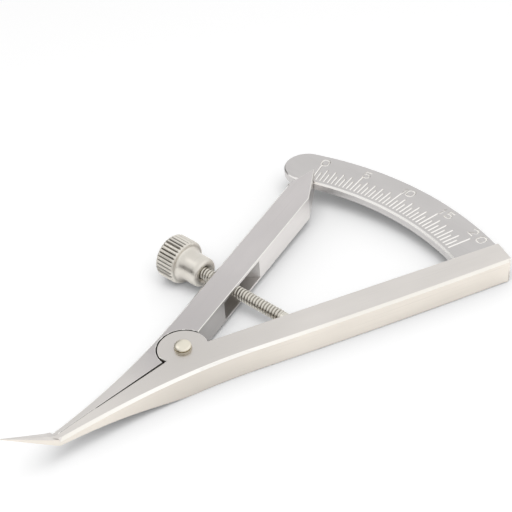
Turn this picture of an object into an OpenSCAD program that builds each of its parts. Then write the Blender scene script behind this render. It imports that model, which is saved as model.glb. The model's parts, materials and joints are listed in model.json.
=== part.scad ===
// Ophthalmic caliper with two levers, a curved millimetre scale and a thumb nut on a swivelling spindle.
// Millimetres. The origin is on the pivot axis, at the underside of the arms. X runs along the closing
// line towards the scale, the tips point to -X, and the arms lie flat with their tops facing +Z.

/* [Reading] */
// Largest reading, which is the distance between the open tips
reading_max = 20; // [17:0.5:21]
// Angle left between the two grips at the largest reading
meet_angle = 1.5; // [1.2:0.1:2.4]

/* [Arms] */
// Thickness of both arms
arm_t = 4.4; // [4.2:0.1:5]
// Angle from the closing line to the frame arm's grip
frame_rake = 20.6; // [19:0.2:23]
// Width of the frame arm's grip near the pivot
frame_root_w = 4.8; // [4.5:0.05:5.2]
// Width of the frame arm's grip at its end
frame_end_w = 4.45; // [4.1:0.05:5]
// How far the frame arm's outer side bows out between its ends
frame_bow = 0.25; // [0:0.05:0.5]
// Width of the pointer arm's grip near the pivot
pointer_root_w = 4.85; // [4.4:0.05:5.2]
// Width of the pointer arm's grip at its end
pointer_end_w = 5.15; // [4.6:0.05:5.6]
// How far the frame arm's inner face passes behind the pivot axis
frame_set_back = 0.26; // [0.24:0.02:0.5]
// How far the pointer arm's inner face passes before the pivot axis
pointer_set_back = 0.2; // [0.1:0.02:0.3]
// Distance along the grips from the pivot to where their outer sides run straight
root_s = 10; // [8:0.5:13]
// Length over which the shoulder swells from the grip into the jaw
shoulder_l = 11; // [8:0.5:13]
// Size of the bevel on the outer top edges
edge_bevel = 0.4; // [0.2:0.05:0.6]
// Radius of the frame arm's outer rear corner
corner_round = 0.5; // [0.3:0.1:1.6]
// Radius of the rounded lower edge at the frame arm's end
end_round = 0.9; // [0.3:0.1:1.3]

/* [Jaws] */
// Distance from the pivot axis to the tips
tip_reach = 32.5; // [31:0.5:36]
// Distance from the pivot axis to the bend of the tips
bend_x = 24.2; // [22:0.2:26]
// Height of the tips above the top of the arms
tip_rise = 5.85; // [4:0.1:7]
// Width of the frame jaw at the bend
frame_bend_w = 1.15; // [0.9:0.05:1.5]
// Width of the pointer jaw at the bend
pointer_bend_w = 0.95; // [0.8:0.05:1.4]
// Angle of the frame jaw's outer side to the closing line at the bend
frame_jaw_angle = 6.6; // [4:0.2:8]
// Angle of the pointer jaw's outer side to the closing line at the bend
pointer_jaw_angle = 2.8; // [2:0.2:6]
// Length over which the jaws keep that angle
jaw_straight = 11.5; // [8:0.5:13]
// Height of the jaws' underside at mid jaw, as a belly
belly_z = 2.05; // [1.2:0.05:2.4]
// Length of the flat faces where the closed jaws touch, from the bend
jaw_face = 7.5; // [4:0.5:12]
// Thickness of both jaws at the bend
bend_t = 1.05; // [0.8:0.05:1.6]
// Width and thickness of the needle tips at their ends
tip_w = 0.1; // [0.06:0.01:0.2]
// Gap between the closed tips
tip_gap = 0.02; // [0.01:0.005:0.05]
// Relief of the jaw faces beside the pivot
jaw_relief = 0.26; // [0.05:0.01:0.3]

/* [Pivot] */
// Radius of the round half laps
lap_r = 3.9; // [3.5:0.1:4.1]
// Gap round each half lap
lap_gap = 0.15; // [0.1:0.01:0.2]
// Gap between the two lap faces
lap_face_gap = 0.06; // [0.04:0.01:0.12]
// Diameter of the pivot pin
pin_d = 1.9; // [1.5:0.1:2.1]
// Running clearance of the pointer arm on the pin, on the radius
pin_clear = 0.04; // [0.02:0.01:0.08]
// Diameter of the pin's domed head
head_d = 2.6; // [2.3:0.1:3]
// Height of the pin's domed head
head_h = 0.76; // [0.5:0.02:1]
// Depth of the groove under the pin's head
head_groove = 0.1; // [0.05:0.01:0.2]
// Diameter of the washer
washer_d = 2.74; // [2.5:0.02:3.2]
// Thickness of the washer
washer_t = 0.22; // [0.15:0.01:0.4]
// Diameter of the pin's riveted foot
foot_d = 2.9; // [2.5:0.1:3.4]
// Depth of the foot's countersink
foot_h = 0.7; // [0.4:0.05:1]

/* [Scale plate] */
// Outer radius of the plate about the pivot
plate_r = 54.35; // [52:0.05:56]
// Width of the plate
plate_w = 7.85; // [7:0.05:8.4]
// Thickness of the plate
plate_t = 1.43; // [1.2:0.05:1.6]
// Size of the bevel on the plate's inner top edge
plate_bevel = 0.3; // [0.1:0.05:0.4]
// Length of the plate inside the frame arm
plate_bury = 3; // [2:0.1:3.2]
// How far the straight part of the plate runs past the nib
plate_past = 2.3; // [1.5:0.1:4]
// How much shorter the frame arm is than the plate
arm_short = 0.65; // [0.2:0.05:1.4]
// Clearance round the plate in the pointer arm's fork
fork_clear = 0.2; // [0.1:0.05:0.3]

/* [Nib] */
// How far the nib reaches over the plate
nib_over = 1.8; // [1:0.1:2.8]
// Distance from the pointer arm's pivot line to the nib
nib_out = 2.75; // [2.4:0.05:3.8]
// Length of the slanted reading face along the arm
nib_slant = 7.8; // [5:0.2:10]
// Length of the taper on the outer side of the nib
nib_taper = 5.7; // [3:0.1:8]

/* [Spindle] */
// Outside diameter of the spindle
spindle_d = 2.1; // [1.8:0.05:2.2]
// Pitch of the thread
thread_pitch = 0.565; // [0.4:0.005:0.7]
// Depth of the thread
thread_depth = 0.14; // [0.08:0.01:0.2]
// Distance along the frame arm from the pivot to the swivel
swivel_s = 18.8; // [17.5:0.1:20]
// Length of plain rod between the swivel and the thread
shank_l = 4.6; // [4.2:0.1:6]
// Length of the thread
thread_l = 24.2; // [22:0.1:26]
// Diameter of the swivel pin
swivel_d = 1; // [0.8:0.05:1.2]
// Running clearance of the eye on the swivel pin, on the radius
swivel_clear = 0.04; // [0.02:0.01:0.08]
// Diameter of the spindle's eye
eye_d = 2.9; // [2.6:0.05:3]
// Clearance round the eye and the rod in the frame arm
pocket_clear = 0.2; // [0.15:0.01:0.25]
// Metal left above the swivel pin
pin_cover = 0.55; // [0.4:0.05:0.8]

/* [Window] */
// Distance along the pointer arm from the pivot to the middle of the window
window_s = 17.8; // [16.8:0.1:18.4]
// Length of the window on the inner side
window_in = 11.2; // [8:0.2:12]
// How far the window's inner mouth lies nearer to the pivot than its outer mouth
window_lead = 0.3; // [0:0.1:0.6]
// Length of the window on the outer side
window_out = 4.3; // [4:0.1:5]
// Height of the window
window_h = 3.4; // [2.6:0.05:3.6]

/* [Thumb nut] */
// Distance from the pointer arm to the nut
nut_gap = 2.35; // [1:0.05:3]
// Diameter over the knurl
knurl_d = 7.4; // [6.4:0.1:8.4]
// Length of the knurled head
knurl_l = 3.7; // [2.8:0.1:4.5]
// Number of knurl grooves
knurl_n = 34; // [24:1:40]
// Depth of the knurl grooves
knurl_h = 0.22; // [0.1:0.02:0.3]
// Radius of the head's rounded outer edge
head_round = 0.45; // [0.2:0.05:0.8]
// Radius of the head's rounded shoulder
shoulder_round = 0.6; // [0.15:0.05:0.65]
// Diameter of the nut's neck
neck_d = 5; // [4.6:0.05:5.4]
// Length of the flare from the neck to the head
neck_flare = 1.5; // [0.3:0.1:1.8]
// Diameter of the nut's nose
nose_d = 3.7; // [3.6:0.05:4.5]
// Length of the rounding from the neck to the nose
nose_round = 0.9; // [0.6:0.1:1.6]
// Length of the nut's neck
neck_l = 4.1; // [3.5:0.1:5.5]
// Diameter of the countersunk mouth
mouth_d = 3.24; // [2.8:0.02:3.5]
// Clearance of the nut's bore on the thread, on the radius
nut_clear = 0.05; // [0.02:0.01:0.08]

/* [Hidden] */
$fn = 96;
over = 0.5;                                          // how far a cut runs past a face
press_gap = 0.01;                                    // radial gap left round a pressed pin
seat_gap = 0.01;                                     // gap left round the plate in the frame arm
mid_z = arm_t / 2;                                   // the spindle and the plate lie in the middle
tip_z = arm_t + tip_rise;
swing = 2 * asin(reading_max / (2 * tip_reach));     // turn of the pointer arm from zero to the end
frame_dir = -frame_rake;
pointer_dir = swing - frame_rake + meet_angle;
plate_in_r = plate_r - plate_w;
plate_mid_r = plate_r - plate_w / 2;
arm_end_r = plate_r - arm_short;
frame_in = -frame_set_back;
pointer_in = -pointer_set_back;

// A point of an arm, from its distance along the arm and its distance to the left
function on_arm(dir, along, left) = [along * cos(dir) - left * sin(dir), along * sin(dir) + left * cos(dir)];
function turned(p, a) = [p[0] * cos(a) - p[1] * sin(a), p[0] * sin(a) + p[1] * cos(a)];

// Outer sides of the grips, as the distance to the left of the pivot line
function share(s) = (s - root_s) / (plate_r - root_s);
function frame_out(s) = frame_in - frame_root_w - (frame_end_w - frame_root_w) * share(s)
                      - 4 * frame_bow * share(s) * (1 - share(s));
function pointer_out(s) = pointer_in + pointer_root_w + (pointer_end_w - pointer_root_w) * share(s);

// Curve through four guide points, and a circular arc
function bezier(p, t) = pow(1 - t, 3) * p[0] + 3 * pow(1 - t, 2) * t * p[1]
                      + 3 * (1 - t) * pow(t, 2) * p[2] + pow(t, 3) * p[3];
function curve(p, n) = [for (i = [0 : n]) bezier(p, i / n)];
function arc(centre, r, a0, a1, n) = [for (i = [0 : n])
    let (a = a0 + (a1 - a0) * i / n) centre + r * [cos(a), sin(a)]];

// Outer side of a jaw, from the bend to the start of the grip, whose line it meets
function jaw_side(start, angle, root, dir) =
    curve([start, start + jaw_straight * [cos(angle), sin(angle)],
           root - shoulder_l * [cos(dir), sin(dir)], root], 20);
frame_side_dir = frame_dir + atan(frame_out(root_s + 1) - frame_out(root_s));
pointer_side_dir = pointer_dir + atan(pointer_out(root_s + 1) - pointer_out(root_s));
frame_jaw = jaw_side([-bend_x, -frame_bend_w], -frame_jaw_angle,
                     on_arm(frame_dir, root_s, frame_out(root_s)), frame_side_dir);
pointer_jaw = jaw_side([-bend_x, pointer_bend_w], pointer_jaw_angle,
                       on_arm(pointer_dir, root_s, pointer_out(root_s)), pointer_side_dir);

// Outer side of the frame arm's grip, with its corner rounded in plan
corner_s = sqrt(pow(arm_end_r, 2) - pow(frame_out(arm_end_r), 2));
frame_grip = [for (i = [1 : 9])
    let (s = root_s + (corner_s - corner_round - root_s) * i / 9) on_arm(frame_dir, s, frame_out(s))];
corner_mid = [corner_s - corner_round, frame_out(corner_s) + corner_round];
frame_corner = [for (p = arc(corner_mid, corner_round, -75, 0, 5)) on_arm(frame_dir, p[0], p[1])];
frame_side = concat(frame_jaw, frame_grip);

// The nib: its point lies over the plate, between the slanted reading face and the outer taper
nib_r = plate_in_r + nib_over;
nib_s = sqrt(pow(nib_r, 2) - pow(nib_out, 2));
nib_dir = pointer_dir + atan2(nib_out, nib_s);
nib_pt = on_arm(pointer_dir, nib_s, nib_out);
heel_pt = on_arm(pointer_dir, nib_s - nib_slant, pointer_in);
taper_pt = on_arm(pointer_dir, nib_s - nib_taper, pointer_out(nib_s - nib_taper));
pointer_side = concat(pointer_jaw, [taper_pt]);

// The rod runs from the swivel through the middle of the window's outer mouth
swivel_pt = on_arm(frame_dir, swivel_s, (frame_in + frame_out(swivel_s)) / 2);
mouth_pt = on_arm(pointer_dir, window_s, pointer_out(window_s));
rod_way = mouth_pt - swivel_pt;
rod_dir = atan2(rod_way[1], rod_way[0]);
rod_way_end = turned(mouth_pt, -swing) - swivel_pt;
rod_dir_end = atan2(rod_way_end[1], rod_way_end[0]);
rod_r = spindle_d / 2;
nut_at = norm(rod_way) + nut_gap;

// The plate runs from inside the frame arm past the nib
plate_start = frame_dir + asin(frame_in / plate_mid_r) - plate_bury / plate_mid_r * 180 / PI;
plate_turn = nib_dir + plate_past / plate_mid_r * 180 / PI - plate_start;

// Motion, for the record: turns in degrees, travel in millimetres
echo(swing = swing, rod_turn = rod_dir_end - rod_dir, rod_dir = rod_dir, swivel = swivel_pt,
     mouth = mouth_pt);
echo(nut_travel = norm(rod_way_end) - norm(rod_way), nib_dir = nib_dir,
     rod_end = shank_l + thread_l - nut_at);

module frame_plan() {
    polygon(concat(
        [[-tip_reach, -tip_gap / 2], [-tip_reach, -tip_gap / 2 - tip_w / 2]],
        frame_side, frame_corner,
        [on_arm(frame_dir, plate_r, frame_out(corner_s) + corner_round),
         on_arm(frame_dir, plate_r, frame_in),
         on_arm(frame_dir, 0, frame_in),
         [-lap_r, -tip_gap / 2 - jaw_relief],
         [-bend_x + jaw_face, -tip_gap / 2]]));
}

module pointer_plan() {
    polygon(concat(
        [[-tip_reach, tip_gap / 2], [0, tip_gap / 2], on_arm(pointer_dir, 1, pointer_in), heel_pt, nib_pt],
        [for (i = [len(pointer_side) - 1 : -1 : 0]) pointer_side[i]],
        [[-tip_reach, tip_gap / 2 + tip_w / 2]]));
}

// Side outline of the arms: the jaws' underside rises in a curve and the needles bend up
module side_outline() {
    rise = tip_rise / (tip_reach - bend_x);
    polygon(concat(
        [[plate_r + over, 0]],
        curve([[-1, 0], [-7, 0], [-10, belly_z], [-bend_x, arm_t - bend_t]], 14),
        [[-bend_x - 0.7, arm_t - bend_t + 0.7 * rise],
         [-tip_reach, tip_z - tip_w / 2],
         [-tip_reach, tip_z + tip_w / 2],
         [-bend_x - 0.9, arm_t + 0.9 * rise],
         [-bend_x, arm_t + 0.2 * rise],
         [-bend_x + 0.7, arm_t],
         [plate_r + over, arm_t]]));
}

module arm_blank() {
    intersection() {
        linear_extrude(tip_z + over) children();
        translate([0, plate_r, 0]) rotate([90, 0, 0]) linear_extrude(2 * plate_r) side_outline();
    }
}

// Bevel cutter along a path; the metal lies to the left of the path, or to the right if side is -1
module bevel_cut(path, side) {
    for (i = [0 : len(path) - 2]) {
        way = path[i + 1] - path[i];
        translate([path[i][0], path[i][1], arm_t]) rotate([0, 0, atan2(way[1], way[0])]) rotate([90, 0, 90])
            translate([0, 0, -0.02]) linear_extrude(norm(way) + 0.04)
                polygon([[side * (edge_bevel + 0.3), 0.3], [-side * 0.3, 0.3],
                         [-side * 0.3, -edge_bevel - 0.3]]);
    }
}

// Room for the plate in the arms: its own section, grown
module plate_room(grow) {
    rotate([0, 0, plate_start - 0.02]) rotate_extrude(angle = plate_turn + 20)
        translate([plate_in_r - grow, mid_z - plate_t / 2 - grow])
            square([plate_w + over, plate_t + 2 * grow]);
}

// What lies along the rod is drawn upright and laid down in the rod's direction
module along_rod(d) {
    translate([swivel_pt[0], swivel_pt[1], mid_z]) rotate([0, 0, rod_dir]) rotate([0, 90, 0])
        translate([0, 0, d]) children();
}

// Pocket in the frame arm for the eye and for the rod's whole swing
module pocket() {
    h = spindle_d + 2 * pocket_clear;
    w = rod_r + pocket_clear;
    translate([swivel_pt[0], swivel_pt[1], mid_z - h / 2]) {
        cylinder(d = eye_d + 2 * pocket_clear, h = h);
        linear_extrude(h) polygon([
            turned([0, w], rod_dir), turned([0, -w], rod_dir_end),
            turned([frame_root_w, -w], rod_dir_end), turned([frame_root_w, w], rod_dir)]);
    }
}

module frame_arm() {
    color("silver") difference() {
        union() {
            intersection() {
                arm_blank() frame_plan();
                rotate_extrude() polygon(concat(
                    [[0, -over], [arm_end_r - end_round, -over]],
                    arc([arm_end_r - end_round, end_round], end_round, -90, 0, 8),
                    [[arm_end_r, tip_z + over], [0, tip_z + over]]));
            }
            translate([0, 0, mid_z + lap_face_gap / 2]) cylinder(r = lap_r, h = mid_z - lap_face_gap / 2);
        }
        translate([0, 0, -over]) cylinder(r = lap_r + lap_gap, h = mid_z + lap_face_gap / 2 + over);
        bevel_cut(concat(frame_side, [on_arm(frame_dir, plate_r, frame_out(plate_r))]), 1);
        // corner of the lap, cut back beside the closing line
        translate([0, 0, mid_z]) linear_extrude(mid_z + over) polygon([
            [-lap_r - 0.4, -jaw_relief], [-lap_r + 0.35, -jaw_relief], [-lap_r + 0.17, 1.2],
            [-lap_r - 0.4, 1.2]]);
        translate([0, 0, -over]) cylinder(r = pin_d / 2 + press_gap, h = arm_t + 2 * over);
        pocket();
        translate([swivel_pt[0], swivel_pt[1], -over])
            cylinder(r = swivel_d / 2 + press_gap, h = arm_t - pin_cover + over);
        plate_room(seat_gap);
    }
}

module pointer_arm() {
    inner_s = window_s - window_lead;
    color("silver") difference() {
        union() {
            arm_blank() pointer_plan();
            cylinder(r = lap_r, h = mid_z - lap_face_gap / 2);
        }
        translate([0, 0, mid_z - lap_face_gap / 2]) cylinder(r = lap_r + lap_gap, h = mid_z + over);
        bevel_cut(pointer_side, -1);
        translate([0, 0, -over]) cylinder(r = pin_d / 2 + pin_clear, h = arm_t);
        cylinder(r1 = foot_d / 2 + pin_clear, r2 = pin_d / 2 + pin_clear, h = foot_h);
        // window for the rod, wider on the inner side
        translate([0, 0, mid_z - window_h / 2]) linear_extrude(window_h) polygon([
            on_arm(pointer_dir, inner_s - window_in / 2, pointer_in),
            on_arm(pointer_dir, inner_s - window_in / 2, pointer_in - over),
            on_arm(pointer_dir, inner_s + window_in / 2, pointer_in - over),
            on_arm(pointer_dir, inner_s + window_in / 2, pointer_in),
            on_arm(pointer_dir, window_s + window_out / 2, pointer_out(window_s)),
            on_arm(pointer_dir, window_s + window_out / 2, pointer_out(window_s) + over),
            on_arm(pointer_dir, window_s - window_out / 2, pointer_out(window_s) + over),
            on_arm(pointer_dir, window_s - window_out / 2, pointer_out(window_s))]);
        // fork round the plate
        plate_room(fork_clear);
    }
}

// Outline of the plate: a ring sector with a full round end, and a tongue flush with the frame arm's end
module plate_plan() {
    stop = plate_start + plate_turn;
    far = 2 * plate_r;
    difference() {
        union() {
            intersection() {
                difference() {
                    circle(r = plate_r);
                    circle(r = plate_in_r);
                }
                polygon([[0, 0], far * [cos(plate_start), sin(plate_start)], far * [cos(stop), sin(stop)]]);
            }
            translate(plate_mid_r * [cos(stop), sin(stop)]) circle(d = plate_w);
        }
        difference() {
            rotate(frame_dir) translate([0, frame_in - frame_root_w]) square([far, frame_root_w]);
            circle(r = arm_end_r);
        }
    }
}

module scale_plate() {
    top = mid_z + plate_t / 2;
    color("gainsboro") difference() {
        translate([0, 0, mid_z - plate_t / 2]) linear_extrude(plate_t) plate_plan();
        rotate_extrude() polygon([[plate_in_r - over, top - plate_bevel - over],
                                  [plate_in_r - over, top + over],
                                  [plate_in_r + plate_bevel + over, top + over]]);
    }
}

module pivot_pin() {
    base = arm_t + washer_t;
    color("wheat") {
        cylinder(d1 = foot_d, d2 = pin_d, h = foot_h);
        cylinder(d = pin_d, h = base + head_h / 2);
        translate([0, 0, base]) rotate_extrude() polygon(concat(
            [[0, 0], [head_d / 2 - head_groove, 0], [head_d / 2 - head_groove, head_h * 0.2],
             [head_d / 2, head_h * 0.3]],
            [for (a = [15 : 15 : 75]) [head_d / 2 * cos(a), head_h * (0.3 + 0.7 * sin(a))]],
            [[0, head_h]]));
    }
}

module pivot_washer() {
    color("wheat") translate([0, 0, arm_t]) difference() {
        cylinder(d = washer_d, h = washer_t);
        translate([0, 0, -over]) cylinder(r = pin_d / 2 + press_gap, h = washer_t + 2 * over);
    }
}

module spindle() {
    turns = floor(thread_l / thread_pitch);
    color("khaki") difference() {
        union() {
            translate([swivel_pt[0], swivel_pt[1], mid_z - rod_r]) cylinder(d = eye_d, h = spindle_d);
            along_rod(0) cylinder(r = rod_r - thread_depth / 2, h = shank_l + 0.01);
            along_rod(shank_l) rotate_extrude() polygon(concat(
                [[0, 0]],
                [for (i = [0 : turns - 1]) each [[rod_r - thread_depth, i * thread_pitch],
                                                 [rod_r, (i + 0.5) * thread_pitch]]],
                [[rod_r - thread_depth, turns * thread_pitch], [rod_r - thread_depth, thread_l - 0.15],
                 [rod_r - thread_depth - 0.15, thread_l], [0, thread_l]]));
        }
        translate([swivel_pt[0], swivel_pt[1], 0]) cylinder(r = swivel_d / 2 + swivel_clear, h = arm_t);
    }
}

module swivel_pin() {
    color("gray") translate([swivel_pt[0], swivel_pt[1], 0])
        cylinder(d = swivel_d, h = arm_t - pin_cover - 0.05);
}

module thumb_nut() {
    knurl_r = knurl_d / 2;
    end = neck_l + knurl_l;
    flare = knurl_r - shoulder_round - neck_d / 2;
    color("tan") along_rod(nut_at) difference() {
        rotate_extrude() polygon(concat(
            [[rod_r + nut_clear, 0.6], [mouth_d / 2, 0]],
            [for (a = [0 : 15 : 90])
                [nose_d / 2 + (neck_d - nose_d) / 2 * sin(a), nose_round * (1 - cos(a))]],
            [for (a = [0 : 15 : 90])
                [neck_d / 2 + flare * (1 - cos(a)), neck_l - neck_flare * (1 - sin(a))]],
            arc([knurl_r - shoulder_round, neck_l + shoulder_round], shoulder_round, -90, 0, 5),
            arc([knurl_r - head_round, end - head_round], head_round, 0, 90, 5),
            [[rod_r + nut_clear + 0.3, end], [rod_r + nut_clear, end - 0.3]]));
        for (i = [1 : knurl_n]) rotate([0, 0, 360 * i / knurl_n]) translate([knurl_r, 0, neck_l - over])
            linear_extrude(knurl_l + 2 * over)
                polygon([[-knurl_h, 0], [over, -over - knurl_h], [over, over + knurl_h]]);
    }
}

frame_arm();
pointer_arm();
scale_plate();
pivot_pin();
pivot_washer();
spindle();
swivel_pin();
thumb_nut();
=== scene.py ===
"""Looks of a lever caliper for eye surgery: satin steel arms, an engraved scale, a knurled nut and
a threaded spindle, in metres and in the frame of its construction model."""

import json
import math

import bmesh
import bpy
from bpy.props import FloatProperty, FloatVectorProperty, IntProperty, PointerProperty
from mathutils import Matrix, Vector


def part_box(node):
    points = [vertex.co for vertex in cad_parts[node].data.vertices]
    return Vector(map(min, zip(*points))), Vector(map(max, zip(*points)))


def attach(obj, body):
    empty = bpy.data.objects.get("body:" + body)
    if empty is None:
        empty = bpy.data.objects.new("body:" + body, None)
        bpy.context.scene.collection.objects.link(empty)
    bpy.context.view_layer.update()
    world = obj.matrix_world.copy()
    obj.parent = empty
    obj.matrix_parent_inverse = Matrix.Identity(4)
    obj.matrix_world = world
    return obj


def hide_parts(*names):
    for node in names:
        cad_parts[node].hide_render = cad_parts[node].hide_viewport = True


bl_info = {
    "name": "Lever caliper",
    "version": (1, 0, 0),
    "blender": (4, 5, 0),
    "location": "View3D > Sidebar > Caliper",
    "description": "Builds the visible pieces of a lever caliper around its construction model",
    "category": "Object",
}

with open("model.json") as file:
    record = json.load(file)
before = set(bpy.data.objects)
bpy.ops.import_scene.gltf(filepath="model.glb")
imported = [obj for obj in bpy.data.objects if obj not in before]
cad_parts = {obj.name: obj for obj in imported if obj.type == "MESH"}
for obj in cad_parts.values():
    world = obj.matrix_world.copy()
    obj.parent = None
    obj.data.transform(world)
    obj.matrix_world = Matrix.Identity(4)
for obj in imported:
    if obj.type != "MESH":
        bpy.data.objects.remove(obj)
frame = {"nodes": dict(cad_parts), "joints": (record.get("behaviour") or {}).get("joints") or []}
MM = 0.001
JOINTS = {j["name"]: j for j in frame["joints"]}
SWIVEL = Vector(JOINTS["screw_swivel"]["pos_m"])
ROD_WAY = Vector(JOINTS["nut_travel"]["axis"]).normalized()
ROD_PLACE = (Matrix.Translation(SWIVEL)
             @ ROD_WAY.to_track_quat("Z", "X").to_matrix().to_4x4())


# ------------------------------------------------------- sizes and colours a user would change

def length(name, text, default_mm):
    return FloatProperty(name=name, description=text, default=default_mm * MM, min=0.0,
                         unit="LENGTH", precision=5)


def angle(name, text, degrees):
    return FloatProperty(name=name, description=text, default=math.radians(degrees),
                         subtype="ANGLE")


def colour(name, text, rgb):
    return FloatVectorProperty(name=name, description=text, default=rgb, size=3, min=0, max=1,
                               subtype="COLOR")


def share(name, text, default):
    return FloatProperty(name=name, description=text, default=default, min=0, max=1,
                         subtype="FACTOR")


def strength(name, text, default):
    return FloatProperty(name=name, description=text, default=default, min=0)


class ArmSettings(bpy.types.PropertyGroup):
    frame_turn: angle("Frame arm angle", "Direction of the frame arm's grip", -20.6)
    pointer_turn: angle("Pointer arm angle", "Direction of the pointer arm's grip", 16.74)
    ease: length("Eased edges", "Width of the small rounding on the arms' sharp edges", 0.1)
    worn: length("Worn lower edges", "Width of the rounding where the arms lie on a table", 0.24)
    gap: length("Dark gap", "Width beside the closing line where the inner faces are dark", 0.35)
    lap_radius: length("Lap radius", "Radius of the round half laps", 3.9)
    # painted reflection: the pointer arm's inner face is darkened near the pivot
    shade_start: length("Shade start", "Reach of the pointer arm's dull inner face", 12.0)
    shade_end: length("Shade end", "Reach from which its inner face is fully bright", 22.0)
    # The arms are one steel; their tops, sides and jaw top differ in colour as painted light
    frame_top: colour("Frame arm top", "Colour of the frame arm's top", (0.80, 0.765, 0.73))
    frame_side: colour("Frame arm sides", "Colour of the frame arm's sides", (0.87, 0.812, 0.735))
    # painted highlight: the bright colours of the arms' bevels
    frame_edge_highlight: colour("Frame arm edges", "Colour of its edges past the lap", (0.90, 0.87, 0.81))
    edge: colour("Arm edges", "Colour of the arms' polished edges", (0.98, 0.96, 0.92))
    pointer_top: colour("Pointer arm top", "Colour of the pointer arm's top", (0.675, 0.645, 0.64))
    pointer_side: colour("Pointer arm sides", "Colour of the pointer arm's sides",
                         (0.84, 0.81, 0.79))
    jaw_top: colour("Pointer jaw top", "Colour of the pointer jaw's top", (0.745, 0.715, 0.69))
    # painted shade: dark colour on the faces of the narrow gaps at the lap and the closing line
    painted_shading: colour("Dull steel", "Colour of unpolished steel in the gaps", (0.20, 0.19, 0.185))
    roughness: share("Roughness", "Roughness of the arms' satin finish", 0.32)
    ground: share("Ground roughness", "Roughness of the gaps' ground rims", 0.5)
    milled: share("Milled roughness", "Roughness of the walls of the window and the fork", 0.45)


class PlateSettings(bpy.types.PropertyGroup):
    inner_radius: length("Inner radius", "Radius of the inner edge about the pivot", 46.5)
    outer_radius: length("Outer radius", "Radius of the outer edge about the pivot", 54.345)
    seat_radius: length("Seat radius", "Radius of the plate's end inside the frame arm", 53.7)
    bury: length("Buried length", "Length of the plate inside the frame arm", 3.0)
    set_back: length("Set-back", "How far the frame arm's inner face passes the pivot axis", 0.26)
    bevel: length("Bevel", "Bevel on the plate's inner top edge", 0.3)
    ease: length("Eased edge", "Bevel on the plate's other top edges", 0.16)
    tip_radius: length("Tip radius", "Pivot to tips, which the scale's law follows", 32.5)
    zero: angle("Zero mark", "Direction of the zero mark", 20.0)
    reading: IntProperty(name="Reading", description="Largest reading in millimetres",
                         default=20, min=5, max=30)
    mark_start: length("Mark start", "Radius where every mark starts", 47.3)
    mark_half: length("Half mark", "Radius where a half-millimetre mark ends", 49.6)
    mark_whole: length("Whole mark", "Radius where a millimetre mark ends", 50.6)
    mark_five: length("Long mark", "Radius where each fifth millimetre mark ends", 51.6)
    mark_width: length("Mark width", "Width of a mark at the surface", 0.32)
    mark_depth: length("Mark depth", "Depth of a mark", 0.13)
    number_height: length("Number height", "Height of the numbers' middle lines", 1.6)
    stroke: length("Stroke radius", "Radius of the numbers' round stroke", 0.19)
    lift: length("Stroke lift", "Height of the stroke's middle above the plate", 0.04)
    face: colour("Plate steel", "Colour of the plate", (0.65, 0.63, 0.62))
    # painted highlight: the bright colour of the plate's inner bevel
    edge: colour("Plate edge", "Colour of the polished inner top edge", (0.97, 0.95, 0.92))
    mark: colour("Mark colour", "Colour of the marks' lit walls", (0.97, 0.95, 0.92))
    shade: colour("Mark shade", "Colour of the marks' shaded walls", (0.45, 0.43, 0.40))
    roughness: share("Roughness", "Roughness of the plate's satin finish", 0.33)


class ThreadSettings(bpy.types.PropertyGroup):
    radius: length("Thread radius", "Outer radius of the thread", 1.05)
    depth: length("Thread depth", "Depth of the thread", 0.16)
    pitch: length("Pitch", "Pitch of the thread", 0.565)
    start: length("Thread start", "Distance from the swivel to the thread", 4.6)
    span: length("Thread length", "Length of the thread", 24.2)
    eye: length("Eye radius", "Radius of the eye", 1.45)
    eye_bore: length("Eye bore", "Radius of the hole in the eye", 0.54)
    steel: colour("Thread steel", "Colour of the spindle", (0.75, 0.72, 0.65))
    # painted shade: the dark colour in the thread's grooves
    groove: colour("Thread groove", "Colour in the thread's grooves", (0.27, 0.25, 0.22))


class NutSettings(bpy.types.PropertyGroup):
    knurl_radius: length("Knurl radius", "Outer radius of the knurled head", 3.693)
    knurl_span: length("Knurl length", "Length of the knurled head", 3.7)
    knurl_depth: length("Knurl depth", "Depth of the knurl", 0.27)
    knurls: IntProperty(name="Knurls", description="Ridges round the head",
                        default=34, min=12, max=60)
    rim_round: length("Rim rounding", "Radius of the head's rounded rim", 0.45)
    shoulder: length("Shoulder", "Radius of the head's rounded shoulder", 0.6)
    flare: length("Flare", "Length of the flare from the neck to the head", 1.5)
    neck_radius: length("Neck radius", "Radius of the neck", 2.5)
    neck_span: length("Neck length", "Length of the neck", 4.1)
    nose_radius: length("Nose radius", "Radius of the nose's rim", 1.85)
    nose_round: length("Nose rounding", "Length of the rounding from the neck to the nose", 0.9)
    mouth_radius: length("Mouth radius", "Radius of the countersunk mouth", 1.62)
    mouth_depth: length("Mouth depth", "Depth of the countersunk mouth", 0.6)
    bore_radius: length("Bore radius", "Radius of the bore", 1.1)
    steel: colour("Nut steel", "Colour of the nut", (0.79, 0.755, 0.69))
    # painted shade: the dark colour in the knurl's grooves
    groove: colour("Knurl groove", "Colour in the knurl's grooves", (0.12, 0.115, 0.105))


class PinSettings(bpy.types.PropertyGroup):
    head_radius: length("Head radius", "Radius of the pin's domed head", 1.3)
    foot_radius: length("Foot radius", "Radius of the pin's riveted foot", 1.45)
    shaft_radius: length("Shaft radius", "Radius of the pin's shaft", 0.95)
    undercut: length("Undercut", "Depth of the hollow under the head's rim", 0.24)
    steel: colour("Pin metal", "Colour of the pin", (0.90, 0.85, 0.73))
    # painted shade: the washer is darker than the pin, for the shade under the domed head
    washer: colour("Washer metal", "Colour of the washer under the head", (0.56, 0.51, 0.42))
    hidden: colour("Swivel pin steel", "Colour of the swivel pin", (0.62, 0.61, 0.59))


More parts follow.
